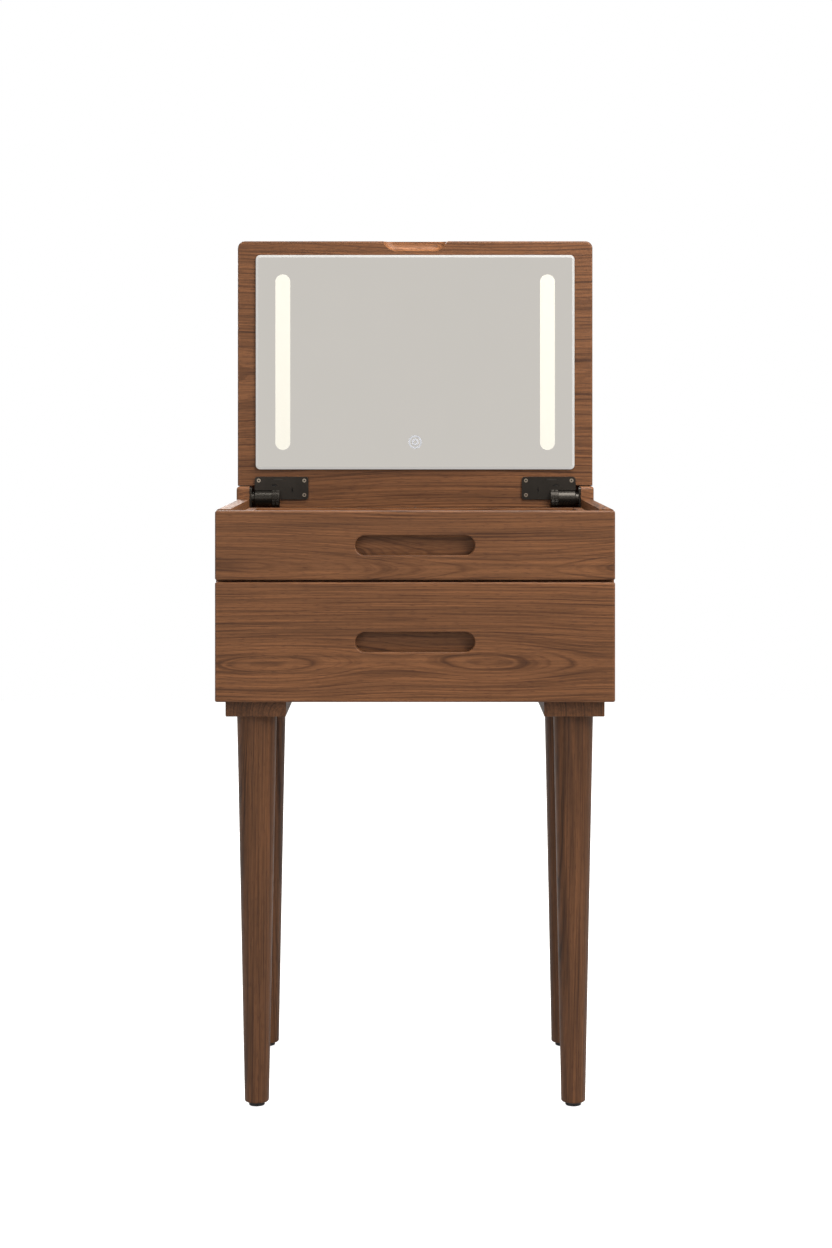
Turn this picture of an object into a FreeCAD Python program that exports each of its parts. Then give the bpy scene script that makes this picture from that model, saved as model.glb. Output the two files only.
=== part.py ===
import FreeCAD, Part
# Flip-top vanity table: two drawers, a lid with a lit mirror on two torque hinges, and four round legs.
# Millimetres, +Z up, origin on the floor under the middle of the box. The drawer fronts face -Y.
# The lid is modelled open, standing on its hinge axis.
import math
import os

from FreeCAD import Vector

# Overall sizes.
WIDTH = 500.0                # across the two side panels
DEPTH = 400.0                # drawer fronts to the back of the posts
LEG_LENGTH = 497.5           # floor to the bearers, with the glide

# Carcass.
PANEL_T = 18.0               # side panels and bottom panel
DIVIDER_T = 15.0
BACK_T = 18.0
OUTER_EDGE_R = 3.5           # rounding on the outside of the side panels
POST_AHEAD = 10.0            # rear post's front face ahead of the hinge axis
POST_EDGE_R = 5.0            # top front edge of a rear post
DOWEL_R = 4.0
DOWEL_IN_SIDE = 11.0
DOWEL_IN_PANEL = 20.0
DOWEL_INSET = 40.0           # first and last dowel from the ends of a joint

# Drawer fronts.
LOWER_FRONT_H = 150.0
UPPER_FRONT_H = 86.5
FRONT_GAP = 2.5              # between the two fronts
FRONT_DROP = 1.5             # side tops above the upper front
FRONT_T = 16.0
FRONT_REVEAL = 1.5           # closed fronts to the front edges of the side panels
FRONT_EDGE_R = 2.5
GRIP_W = 149.5
GRIP_H = 25.0
GRIP_HOOK_H = 9.0            # finger rebate above the slot, behind the front's face
GRIP_LIP_T = 8.0             # wood left in front of the rebate
GRIP_EDGE_R = 1.5            # softened front edge of the slot

# Drawer boxes.
DRAWER_WALL_T = 12.0
DRAWER_BOTTOM_T = 5.0
DRAWER_GROOVE = 5.0
DRAWER_FIT = 0.2             # play of the bottom in its grooves
DRAWER_SIDE_GAP = 4.0        # drawer side to side panel
DRAWER_FLOOR_GAP = 5.0       # drawer side's lower edge above the floor of its bay
UPPER_BOX_DROP = 9.0         # upper drawer box below the side tops
LOWER_BOX_DROP = 12.0        # lower drawer box below the divider
DRAWER_REAR_GAP = 76.0       # back of the drawer boxes to the hinge axis
DRAWER_EDGE_R = 1.0

# Under-drawer runners, measured from the side panel inward and from the floor of the bay upward.
RAIL_T = 1.5
RAIL_FLANGE_H = 23.0
RAIL_FLOOR_H = 1.0           # underside of the cabinet rail
CHANNEL_U = 19.0             # start of the cabinet rail's channel
CHANNEL_W = 17.0
CHANNEL_H = 7.0
RAIL_PLAY = 0.8              # between nested rails
MID_WALL_T = 1.2
RAIL_END_GAP = 2.0           # rails behind the drawer's inner front
MID_SHORTER = 8.0            # middle rail shorter than the cabinet rail at its rear

# Lid.
LID_T = 17.0
LID_INSET = 1.0              # lid's side edge inside the side panel's face
LID_REST_GAP = 1.0           # closed lid above the side tops
LID_EDGE_R = 5.0             # outer face
LID_INNER_EDGE_R = 2.5
LID_CORNER_R = 10.0
REAR_OVERHANG = 14.0         # lid behind the hinge axis
SWING_GAP = 1.0              # lid's sweep to the back panel
NOTCH_GAP = 0.4              # open lid above the posts
NOTCH_SIDE_GAP = 7.0         # lid's tongue to the side panels
COVE_GAP = 0.45              # post's corner to the cove under the lid's shoulder
SCOOP_FLAT = 51.0
SCOOP_R = 21.0
SCOOP_H = 14.2
SCOOP_D = 12.0
SCOOP_COVE_R = 11.0

# Mirror and its light box.
MIRROR_T = 5.0
MIRROR_SIDE_MARGIN = 25.8    # lid's side edge to the glass
MIRROR_FRONT_MARGIN = 19.9   # lid's front edge to the glass
MIRROR_HINGE_MARGIN = 41.0   # hinge axis to the glass
MIRROR_CORNER_R = 6.8
BEVEL_W = 3.0
BEVEL_H = 1.5
MIRROR_LAP = 10.0            # glass over the edge of the recess
RECESS_D = 8.5
TRAY_FIT = 0.5
TRAY_T = 1.5
WINDOW_W = 20.8
WINDOW_SIDE = 27.4           # glass edge to a light window
WINDOW_END = 27.1
LED_BAR_W = 12.0
LED_BAR_T = 1.6
LED_BAR_SHORTER = 9.0
LED_PITCH = 12.0
LED_SIZE = 3.5
LED_H = 0.9
ICON_R = 9.4
ICON_RING = 2.5
ICON_INNER_R = 4.8
ICON_D = 0.8
ICON_UP = 38.2               # glass's lower edge to the middle of the touch mark
MODULE_W = 36.0
MODULE_L = 24.0
MODULE_T = 5.0
SENSOR_R = 6.0
WIRE_R = 0.9
LEAD_R = 2.0
LEAD_HOLE_R = 2.6
INLET_R = 4.5
INLET_L = 12.0
INLET_BORE_R = 2.8
INLET_BORE_L = 9.0

# Torque hinges.
BARREL_R = 11.0
BARREL_POCKET_GAP = 1.0
HOUSING_L = 24.0             # fixed part of the barrel
HOUSING_CHAMFER = 1.0
COLLAR_R = 11.8
COLLAR_L = 10.7              # part of the barrel that turns with the leaf
COLLAR_GAP = 0.3
HOUSING_WALL = 2.0
SHAFT_R = 4.0
SHAFT_FIT = 0.1
SHAFT_END_GAP = 0.5
LEAF_L = 75.4
LEAF_T = 2.5
LEAF_UP = 30.4
LEAF_DOWN = 1.4
LEAF_CORNER_R = 4.0
LEAF_HOUSING_GAP = 0.7
LEAF_MARK_R = 1.0
LEAF_MARKS = (33.6, 50.4)    # from the leaf's inner end
LEAF_SLOT = (44.4, 11.0, 7.0, 1.8)   # from the leaf's inner end, below its top edge, width, height
LEAF_KEYWAY = (22.0, 16.0, 1.4, 5.5)
LEAF_SCREW_ENDS = (5.8, 5.7)     # from the leaf's inner and outer end
LEAF_SCREW_DOWN = 5.2        # below the leaf's top edge
LEAF_SCREW_UP = 4.9          # above the hinge axis
NECK_R = 8.0
PLATE_T = 3.0
PLATE_BEHIND = 15.0          # hinge axis to the plate's rear edge
PLATE_DOWN = 18.0
PLATE_INSET = 1.5            # plate inside the post's front face and top
PLATE_CORNER_R = 3.0
PLATE_SCREW_INSET = 5.0
DISC_R = 8.6
DISC_T = 2.0
DISC_COUNT = 7

# Base.
BEARER_W = 76.0
BEARER_T = 20.0
BEARER_INSET = 12.0          # from the side panel's outer face
BEARER_FRONT = 15.0
BEARER_REAR = 30.0
BEARER_EDGE_R = 1.5
LEG_TOP_R = 25.3
LEG_BOTTOM_R = 15.4
LEG_FOOT_R = 2.0             # rounding at the foot
FRONT_LEG_SIDE_INSET = 49.0  # side panel's outer face to a front leg's axis
REAR_LEG_SIDE_INSET = 45.0
LEG_FRONT_INSET = 53.0
LEG_REAR_INSET = 65.0
GLIDE_R = 10.0
GLIDE_EDGE_R = 1.0
GLIDE_T = 5.0
GLIDE_PIN_R = 2.5
GLIDE_PIN_L = 14.0
BOLT_R = 4.0
BOLT_IN_LEG = 26.0
INSERT_R = 6.0
INSERT_FLANGE_R = 9.0
INSERT_FLANGE_T = 1.5

# Cable grommet in the back panel.
GROMMET_R = 12.5
GROMMET_FLANGE_R = 15.5
GROMMET_FLANGE_T = 1.5
GROMMET_BORE_R = 10.0
GROMMET_DOWN = 36.0          # below the back panel's top edge

# Screws: shank radius, head radius, head height, length.
WOOD_SCREW = (2.0, 4.0, 2.4, 30.0)
FRONT_SCREW = (2.0, 4.0, 2.4, 20.0)
BEARER_SCREW = (2.0, 4.0, 2.4, 32.0)
SMALL_SCREW = (1.5, 3.0, 1.5, 12.0)
CLIP_SCREW = (1.5, 3.0, 1.4, 5.5)
LEAF_SCREW = (1.75, 2.7, 1.6, 13.0)
SOCKET_R = 1.3
SOCKET_D = 1.2
SCREW_INSET = 16.0           # from the edge of a panel to a screw

# Planes worked out from the sizes above.
SIDE_X = WIDTH / 2
INNER_X = SIDE_X - PANEL_T
FRONT_Y = -DEPTH / 2
REAR_Y = DEPTH / 2
FRONT_BACK_Y = FRONT_Y + FRONT_T
CARCASS_Y = FRONT_BACK_Y + FRONT_REVEAL
BACK_Y = REAR_Y - BACK_T
BOX_Z = LEG_LENGTH + BEARER_T
FLOOR_Z = BOX_Z + PANEL_T
LOWER_TOP_Z = BOX_Z + LOWER_FRONT_H
UPPER_Z = LOWER_TOP_Z + FRONT_GAP
UPPER_TOP_Z = UPPER_Z + UPPER_FRONT_H
SIDE_TOP_Z = UPPER_TOP_Z + FRONT_DROP
DIVIDER_Z = LOWER_TOP_Z + FRONT_GAP / 2 - DIVIDER_T / 2
DIVIDER_TOP_Z = DIVIDER_Z + DIVIDER_T
AXIS_Z = SIDE_TOP_Z + LID_REST_GAP
POST_TOP_Z = AXIS_Z + LID_T
SWING_R = math.hypot(REAR_OVERHANG - LID_EDGE_R, LID_T - LID_EDGE_R) + LID_EDGE_R
AXIS_Y = BACK_Y - SWING_GAP - SWING_R
POST_Y = AXIS_Y - POST_AHEAD
LID_FACE_Y = AXIS_Y                      # inner face of the open lid
LID_BACK_Y = AXIS_Y + LID_T
LID_TOP_Z = AXIS_Z + AXIS_Y - FRONT_Y    # front edge of the lid, standing open
LID_X = SIDE_X - LID_INSET
SHOULDER = LID_T + NOTCH_GAP
COVE_R = math.hypot(LID_T - POST_EDGE_R, POST_AHEAD - POST_EDGE_R) + POST_EDGE_R + COVE_GAP
TONGUE_X = INNER_X - NOTCH_SIDE_GAP
DRAWER_X = INNER_X - DRAWER_SIDE_GAP
DRAWER_IN_X = DRAWER_X - DRAWER_WALL_T
DRAWER_REAR_Y = AXIS_Y - DRAWER_REAR_GAP
INNER_FRONT_Y = FRONT_BACK_Y + DRAWER_WALL_T
MIRROR_X = LID_X - MIRROR_SIDE_MARGIN
MIRROR_Z = AXIS_Z + MIRROR_HINGE_MARGIN
MIRROR_TOP_Z = LID_TOP_Z - MIRROR_FRONT_MARGIN
WINDOW_X = MIRROR_X - WINDOW_SIDE - WINDOW_W / 2
MIDDLE_H = RAIL_FLOOR_H + RAIL_T + RAIL_PLAY
MIDDLE_TOP_H = RAIL_FLOOR_H + RAIL_T + CHANNEL_H + RAIL_PLAY / 2
DRAWER_RAIL_H = MIDDLE_TOP_H + RAIL_PLAY
DRAWER_BOTTOM_H = DRAWER_RAIL_H + RAIL_T

LEFT = -1
RIGHT = 1
SIDES = (("left", LEFT), ("right", RIGHT))


def box(x0, x1, y0, y1, z0, z1):
    """A box between two corners."""
    return Part.makeBox(x1 - x0, y1 - y0, z1 - z0, Vector(x0, y0, z0))


def side_box(side, u0, u1, y0, y1, z0, z1):
    """A box between two distances from the middle plane, on the left or the right."""
    ends = sorted((side * u0, side * u1))
    return box(ends[0], ends[1], y0, y1, z0, z1)


def rod(radius, start, direction, length):
    """A cylinder from a point along a direction."""
    return Part.makeCylinder(radius, length, start, direction)


def rounded(shape, radius, wanted):
    """The shape with a fillet on each edge that the test accepts."""
    return shape.makeFillet(radius, [e for e in shape.Edges if wanted(e.BoundBox)])


def in_plane(low, high, place):
    """Whether a stretch lies in the plane at this place."""
    return abs(low - place) < 1e-3 and abs(high - place) < 1e-3


def rounded_box(x0, x1, y0, y1, z0, z1, radius):
    """A box with every edge rounded."""
    solid = box(x0, x1, y0, y1, z0, z1)
    return solid.makeFillet(radius, solid.Edges)


def pane_wire(x_half, z0, z1, y, radius):
    """A rectangle with round corners in a plane that faces -Y."""
    k = radius * (1 - math.sqrt(0.5))
    corners = ((x_half, z0, 1, -1), (x_half, z1, 1, 1), (-x_half, z1, -1, 1), (-x_half, z0, -1, -1))
    edges = []
    turns = []
    for x, z, sx, sz in corners:
        along_x = Vector(x - sx * radius, y, z)
        middle = Vector(x - sx * k, y, z - sz * k)
        along_z = Vector(x, y, z - sz * radius)
        first, last = (along_x, along_z) if sx * sz < 0 else (along_z, along_x)
        turns.append((first, middle, last))
    for i, (first, middle, last) in enumerate(turns):
        edges.append(Part.Arc(first, middle, last).toShape())
        edges.append(Part.LineSegment(last, turns[(i + 1) % len(turns)][0]).toShape())
    return Part.Wire(edges)


def pane(x_half, z0, z1, y0, y1, radius):
    """A plate with round corners that faces -Y."""
    return Part.Face(pane_wire(x_half, z0, z1, y0, radius)).extrude(Vector(0, y1 - y0, 0))


def slot(x_half, middle_z, height, y0, y1):
    """A lying slot with full-round ends, cut along Y."""
    r = height / 2
    bar = box(-x_half + r, x_half - r, y0, y1, middle_z - r, middle_z + r)
    ends = [rod(r, Vector(x, y0, middle_z), Vector(0, 1, 0), y1 - y0) for x in (-x_half + r, x_half - r)]
    return bar.fuse(ends).removeSplitter()


def screw(size, start, direction):
    """A countersunk screw with its flat head at start."""
    shank_r, head_r, head_h, length = size
    head = Part.makeCone(head_r, shank_r, head_h, start, direction)
    shank = rod(shank_r, start + direction * head_h, direction, length - head_h - shank_r)
    tip = Part.makeCone(shank_r, shank_r / 4, shank_r, start + direction * (length - shank_r), direction)
    return head.fuse([shank, tip])


def socket(start, direction):
    """The six-sided recess in a screw's head."""
    around = direction.cross(Vector(1, 0, 0)) if abs(direction.x) < 0.5 else direction.cross(Vector(0, 0, 1))
    other = direction.cross(around)
    points = []
    for i in range(7):
        turn = math.radians(60 * i)
        points.append(start + (around * math.cos(turn) + other * math.sin(turn)) * SOCKET_R)
    return Part.Face(Part.makePolygon(points)).extrude(direction * SOCKET_D)


def spread(low, high, count, inset):
    """Evenly spaced places, the first and the last an inset from the ends."""
    step = (high - low - 2 * inset) / (count - 1)
    return [low + inset + step * i for i in range(count)]


def drill(part, tools):
    """The part less its holes."""
    return part.cut(Part.Compound(tools)) if tools else part


NODES = {}


def keep(name, shapes):
    """Files one solid, or a group of separate solids, under a node's name."""
    NODES[name] = Part.Compound(shapes) if isinstance(shapes, list) else shapes


# Carcass -------------------------------------------------------------------------------------------

def dowels():
    """Dowels that pin the bottom, the divider and the back to the side panels."""
    pins = []
    length = DOWEL_IN_SIDE + DOWEL_IN_PANEL
    back_mid_y = BACK_Y + BACK_T / 2
    places = [(y, BOX_Z + PANEL_T / 2) for y in spread(CARCASS_Y, BACK_Y, 3, DOWEL_INSET)]
    places += [(y, DIVIDER_Z + DIVIDER_T / 2) for y in spread(CARCASS_Y, BACK_Y, 3, DOWEL_INSET)]
    places += [(back_mid_y, z) for z in spread(BOX_Z, SIDE_TOP_Z, 3, DOWEL_INSET)]
    for side in (LEFT, RIGHT):
        for y, z in places:
            start = Vector(side * (INNER_X - DOWEL_IN_PANEL), y, z)
            pins.append(rod(DOWEL_R, start, Vector(side, 0, 0), length))
    return pins


def side_panel(side):
    """A side panel with its rear post, rounded on the outside."""
    def outer_top_or_rear(b, top_z):
        outside = in_plane(side * b.XMin, side * b.XMax, SIDE_X)
        return outside and (in_plane(b.ZMin, b.ZMax, top_z) or in_plane(b.YMin, b.YMax, REAR_Y))
    panel = side_box(side, INNER_X, SIDE_X, CARCASS_Y, REAR_Y, BOX_Z, SIDE_TOP_Z)
    panel = rounded(panel, OUTER_EDGE_R, lambda b: outer_top_or_rear(b, SIDE_TOP_Z))
    post = side_box(side, INNER_X, SIDE_X, POST_Y, REAR_Y, BOX_Z, POST_TOP_Z)
    post = rounded(post, POST_EDGE_R,
                   lambda b: in_plane(b.YMin, b.YMax, POST_Y) and in_plane(b.ZMin, b.ZMax, POST_TOP_Z))
    post = rounded(post, OUTER_EDGE_R,
                   lambda b: in_plane(side * b.XMin, side * b.XMax, SIDE_X) and b.ZMax > SIDE_TOP_Z)
    return panel.fuse(post).removeSplitter()


def grommet():
    """The lined cable hole, flush with the back of the back panel."""
    middle_z = POST_TOP_Z - GROMMET_DOWN
    tube = rod(GROMMET_R, Vector(0, BACK_Y, middle_z), Vector(0, 1, 0), BACK_T)
    flange = rod(GROMMET_FLANGE_R, Vector(0, REAR_Y - GROMMET_FLANGE_T, middle_z), Vector(0, 1, 0),
                 GROMMET_FLANGE_T)
    bore = rod(GROMMET_BORE_R, Vector(0, BACK_Y, middle_z), Vector(0, 1, 0), BACK_T)
    outer = tube.fuse(flange)
    return outer, outer.cut(bore)


# Base ----------------------------------------------------------------------------------------------

BEARER_IN_X = SIDE_X - BEARER_INSET - BEARER_W
BEARER_OUT_X = SIDE_X - BEARER_INSET
BEARER_Y0 = FRONT_Y + BEARER_FRONT
BEARER_Y1 = REAR_Y - BEARER_REAR
LEG_PLACES = (("front", SIDE_X - FRONT_LEG_SIDE_INSET, FRONT_Y + LEG_FRONT_INSET),
              ("rear", SIDE_X - REAR_LEG_SIDE_INSET, REAR_Y - LEG_REAR_INSET))
UP = Vector(0, 0, 1)


def leg_bolt(x, y):
    """A hanger bolt from the leg up through the bearer's insert."""
    return rod(BOLT_R, Vector(x, y, LEG_LENGTH - BOLT_IN_LEG), UP, BOLT_IN_LEG + BEARER_T)


def insert_body(x, y):
    """The outside of a threaded insert, with its flange on top of the bearer."""
    body = rod(INSERT_R, Vector(x, y, LEG_LENGTH), UP, BEARER_T)
    flange = rod(INSERT_FLANGE_R, Vector(x, y, BOX_Z - INSERT_FLANGE_T), UP, INSERT_FLANGE_T)
    return body.fuse(flange)


def glide(x, y):
    """A foot glide with its pin."""
    foot = rod(GLIDE_R, Vector(x, y, 0), UP, GLIDE_T)
    foot = foot.makeFillet(GLIDE_EDGE_R, [e for e in foot.Edges if in_plane(e.BoundBox.ZMin, e.BoundBox.ZMax, 0)])
    return foot.fuse(rod(GLIDE_PIN_R, Vector(x, y, GLIDE_T), UP, GLIDE_PIN_L))


def leg(x, y):
    """A round leg that tapers to its foot."""
    cone = Part.makeCone(LEG_BOTTOM_R, LEG_TOP_R, LEG_LENGTH - GLIDE_T, Vector(x, y, GLIDE_T), UP)
    cone = rounded(cone, LEG_FOOT_R, lambda b: in_plane(b.ZMin, b.ZMax, GLIDE_T))
    return drill(cone, [leg_bolt(x, y), glide(x, y)])


def build_carcass_and_base():
    """Panels, dowels, grommet, bearers, legs and their hardware."""
    pins = dowels()
    grommet_hole, grommet_ring = grommet()
    bearer_screws = []
    for side in (LEFT, RIGHT):
        for u in (BEARER_IN_X + SCREW_INSET, INNER_X - SCREW_INSET / 2):
            for y in spread(BEARER_Y0, BEARER_Y1, 3, SCREW_INSET):
                bearer_screws.append(screw(BEARER_SCREW, Vector(side * u, y, LEG_LENGTH), UP))
    bolts = []
    inserts = []
    glides = []
    for name, side in SIDES:
        bearer = rounded_box(*sorted((side * BEARER_IN_X, side * BEARER_OUT_X)), BEARER_Y0, BEARER_Y1,
                             LEG_LENGTH, BOX_Z, BEARER_EDGE_R)
        for row, from_middle, y in LEG_PLACES:
            x = side * from_middle
            bolt = leg_bolt(x, y)
            body = insert_body(x, y)
            keep(row + "_" + name + "_leg", leg(x, y))
            bearer = bearer.cut(body)
            bolts.append(bolt)
            inserts.append(body.cut(bolt))
            glides.append(glide(x, y))
        keep(name + "_bearer", drill(bearer, bearer_screws))
    keep("leg_hanger_bolts", bolts)
    keep("leg_inserts", inserts)
    keep("foot_glides", glides)
    keep("bearer_screws", bearer_screws)
    keep("carcass_dowels", pins)
    keep("cable_grommet", grommet_ring)
    bottom = box(-INNER_X, INNER_X, CARCASS_Y, BACK_Y, BOX_Z, FLOOR_Z)
    keep("bottom_panel", drill(bottom, pins + bearer_screws))
    divider = box(-INNER_X, INNER_X, CARCASS_Y, BACK_Y, DIVIDER_Z, DIVIDER_TOP_Z)
    keep("divider_panel", drill(divider, pins))
    back = box(-INNER_X, INNER_X, BACK_Y, REAR_Y, BOX_Z, POST_TOP_Z)
    keep("back_panel", drill(back, pins + [grommet_hole]))
    return pins


# Drawers and runners -------------------------------------------------------------------------------

def runner_boxes(pieces, side, floor_z, y0, y1):
    """A rail made of straight strips, each given from the side panel inward and from the floor up."""
    strips = [side_box(side, INNER_X - u0, INNER_X - u1, y0, y1, floor_z + h0, floor_z + h1)
              for u0, u1, h0, h1 in pieces]
    return strips[0].fuse(strips[1:]).removeSplitter()


def cabinet_rail(side, floor_z):
    """The fixed rail: a flange on the side panel and a channel under the drawer."""
    floor_top = RAIL_FLOOR_H + RAIL_T
    channel_end = CHANNEL_U + CHANNEL_W
    leg_top = floor_top + CHANNEL_H
    pieces = [(0, RAIL_T, RAIL_FLOOR_H, RAIL_FLOOR_H + RAIL_FLANGE_H),
              (0, channel_end, RAIL_FLOOR_H, floor_top),
              (CHANNEL_U, CHANNEL_U + RAIL_T, RAIL_FLOOR_H, leg_top),
              (channel_end - RAIL_T, channel_end, RAIL_FLOOR_H, leg_top)]
    return runner_boxes(pieces, side, floor_z, INNER_FRONT_Y + RAIL_END_GAP, DRAWER_REAR_Y)


def middle_rail(side, floor_z):
    """The tube that carries half of the extension."""
    u0 = CHANNEL_U + RAIL_T + RAIL_PLAY
    u1 = CHANNEL_U + CHANNEL_W - RAIL_T - RAIL_PLAY
    pieces = [(u0, u1, MIDDLE_H, MIDDLE_H + MID_WALL_T),
              (u0, u1, MIDDLE_TOP_H - MID_WALL_T, MIDDLE_TOP_H),
              (u0, u0 + MID_WALL_T, MIDDLE_H, MIDDLE_TOP_H),
              (u1 - MID_WALL_T, u1, MIDDLE_H, MIDDLE_TOP_H)]
    return runner_boxes(pieces, side, floor_z, INNER_FRONT_Y + RAIL_END_GAP, DRAWER_REAR_Y - MID_SHORTER)


def drawer_rail(side, floor_z):
    """The cover rail under the drawer's bottom."""
    u0 = CHANNEL_U - RAIL_PLAY - RAIL_T / 2
    u1 = CHANNEL_U + CHANNEL_W + RAIL_PLAY + RAIL_T / 2
    pieces = [(u0, u1, DRAWER_RAIL_H, DRAWER_BOTTOM_H),
              (u0, u0 + RAIL_T / 2, DRAWER_FLOOR_GAP, DRAWER_BOTTOM_H),
              (u1 - RAIL_T / 2, u1, DRAWER_FLOOR_GAP, DRAWER_BOTTOM_H)]
    return runner_boxes(pieces, side, floor_z, INNER_FRONT_Y, DRAWER_REAR_Y)


def drawer_front(bottom_z, height):
    """A drawer front with its grip slot and the finger rebate behind the slot's upper lip."""
    middle_z = bottom_z + height / 2
    panel = rounded_box(-SIDE_X, SIDE_X, FRONT_Y, FRONT_BACK_Y, bottom_z, bottom_z + height, FRONT_EDGE_R)
    grip = slot(GRIP_W / 2, middle_z, GRIP_H, FRONT_Y - 1, FRONT_BACK_Y + 1)
    panel = panel.cut(grip)
    panel = rounded(panel, GRIP_EDGE_R,
                    lambda b: in_plane(b.YMin, b.YMax, FRONT_Y) and abs(b.ZMax - middle_z) < GRIP_H / 2 + 1)
    rebate_half = GRIP_W / 2 - GRIP_H / 2
    rebate = box(-rebate_half, rebate_half, FRONT_Y + GRIP_LIP_T, FRONT_BACK_Y, middle_z,
                 middle_z + GRIP_H / 2 + GRIP_HOOK_H)
    return panel.cut(rebate)


def build_drawer(name, front_z, front_h, floor_z, box_top_z):
    """One drawer: its front, its box, its screws and the rails under it."""
    low_z = floor_z + DRAWER_FLOOR_GAP
    board_z = floor_z + DRAWER_BOTTOM_H
    board_top_z = board_z + DRAWER_BOTTOM_T
    back_y = DRAWER_REAR_Y - DRAWER_WALL_T
    groove_x = DRAWER_IN_X + DRAWER_GROOVE
    screw_z = (board_top_z + SCREW_INSET / 2, box_top_z - SCREW_INSET / 2)

    into_front = [screw(FRONT_SCREW, Vector(side * u, INNER_FRONT_Y, z), Vector(0, -1, 0))
                  for side in (LEFT, RIGHT) for u in (GRIP_W / 2 + SCREW_INSET, DRAWER_IN_X - 2 * SCREW_INSET)
                  for z in screw_z]
    into_ends = [screw(WOOD_SCREW, Vector(side * DRAWER_X, y, z), Vector(-side, 0, 0))
                 for side in (LEFT, RIGHT) for z in screw_z
                 for y in (FRONT_BACK_Y + DRAWER_WALL_T / 2, DRAWER_REAR_Y - DRAWER_WALL_T / 2)]
    up_into_back = [screw(SMALL_SCREW, Vector(x, DRAWER_REAR_Y - DRAWER_WALL_T / 2, board_z), UP)
                    for x in spread(-DRAWER_IN_X, DRAWER_IN_X, 3, 3 * SCREW_INSET)]
    rail_x = INNER_X - CHANNEL_U - CHANNEL_W / 2
    clips = [screw(CLIP_SCREW, Vector(side * rail_x, y, floor_z + DRAWER_RAIL_H), UP)
             for side in (LEFT, RIGHT) for y in spread(INNER_FRONT_Y, back_y, 2, SCREW_INSET)]
    screws = into_front + into_ends + up_into_back + clips

    board = box(-groove_x + DRAWER_FIT, groove_x - DRAWER_FIT, INNER_FRONT_Y - DRAWER_GROOVE + DRAWER_FIT,
                DRAWER_REAR_Y, board_z, board_top_z)
    groove = box(-groove_x, groove_x, INNER_FRONT_Y - DRAWER_GROOVE, DRAWER_REAR_Y, board_z, board_top_z)
    inner = box(-DRAWER_IN_X, DRAWER_IN_X, FRONT_BACK_Y, INNER_FRONT_Y, low_z, box_top_z)
    back = box(-DRAWER_IN_X, DRAWER_IN_X, back_y, DRAWER_REAR_Y, board_top_z, box_top_z)

    keep(name + "_drawer_front", drill(drawer_front(front_z, front_h), into_front))
    keep(name + "_drawer_inner_front", drill(inner, screws + [groove]))
    keep(name + "_drawer_back", drill(back, screws))
    keep(name + "_drawer_bottom", drill(board, up_into_back + clips))
    for side_name, side in SIDES:
        wall = side_box(side, DRAWER_IN_X, DRAWER_X, FRONT_BACK_Y, DRAWER_REAR_Y, low_z, box_top_z)
        wall = rounded(wall, DRAWER_EDGE_R,
                       lambda b: in_plane(b.ZMin, b.ZMax, box_top_z) and b.YMax - b.YMin > DRAWER_WALL_T + 1)
        keep(name + "_drawer_" + side_name + "_side", drill(wall, into_ends + [groove]))
    keep(name + "_drawer_screws", screws)
    keep(name + "_drawer_rails", [drill(drawer_rail(side, floor_z), clips) for side in (LEFT, RIGHT)])
    keep(name + "_middle_rails", [middle_rail(side, floor_z) for side in (LEFT, RIGHT)])


def build_cabinet_rails():
    """The four fixed rails and the screws that hold them. Returns the screws."""
    all_screws = []
    for level, floor_z in (("lower", FLOOR_Z), ("upper", DIVIDER_TOP_Z)):
        screw_z = floor_z + RAIL_FLOOR_H + RAIL_FLANGE_H - SCREW_INSET / 3
        for name, side in SIDES:
            screws = [screw(SMALL_SCREW, Vector(side * (INNER_X - RAIL_T), y, screw_z), Vector(side, 0, 0))
                      for y in spread(INNER_FRONT_Y, DRAWER_REAR_Y, 3, SCREW_INSET)]
            keep(level + "_" + name + "_cabinet_rail", drill(cabinet_rail(side, floor_z), screws))
            all_screws += screws
    keep("rail_screws", all_screws)
    return all_screws


# Lid, mirror and lights ----------------------------------------------------------------------------

def scoop_tool():
    """The finger scoop: a wide shallow bite with a coved back, open at the lid's front edge."""
    low_z = LID_TOP_Z - SCOOP_H
    high_z = low_z + SCOOP_R
    half = SCOOP_FLAT / 2
    k = SCOOP_R * math.sqrt(0.5)
    y = LID_FACE_Y
    right = Part.Arc(Vector(half, y, low_z), Vector(half + k, y, high_z - k),
                     Vector(half + SCOOP_R, y, high_z)).toShape()
    left = Part.Arc(Vector(-half - SCOOP_R, y, high_z), Vector(-half - k, y, high_z - k),
                    Vector(-half, y, low_z)).toShape()
    top = Part.LineSegment(Vector(half + SCOOP_R, y, high_z), Vector(-half - SCOOP_R, y, high_z)).toShape()
    flat = Part.LineSegment(Vector(-half, y, low_z), Vector(half, y, low_z)).toShape()
    bite = Part.Face(Part.Wire([flat, right, top, left])).extrude(Vector(0, SCOOP_D, 0))
    return rounded(bite, SCOOP_COVE_R,
                   lambda b: in_plane(b.YMin, b.YMax, y + SCOOP_D) and b.ZMin < high_z - 1)


def lid_blank():
    """The lid's rounded board, before its notches and pockets."""
    board = box(-LID_X, LID_X, LID_FACE_Y, LID_BACK_Y, AXIS_Z - REAR_OVERHANG, LID_TOP_Z)
    board = rounded(board, LID_CORNER_R,
                    lambda b: b.YMax - b.YMin > LID_T / 2 and in_plane(b.ZMin, b.ZMax, LID_TOP_Z))
    board = rounded(board, LID_EDGE_R, lambda b: in_plane(b.YMin, b.YMax, LID_BACK_Y))
    return rounded(board, LID_INNER_EDGE_R, lambda b: in_plane(b.YMin, b.YMax, LID_FACE_Y))


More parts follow.
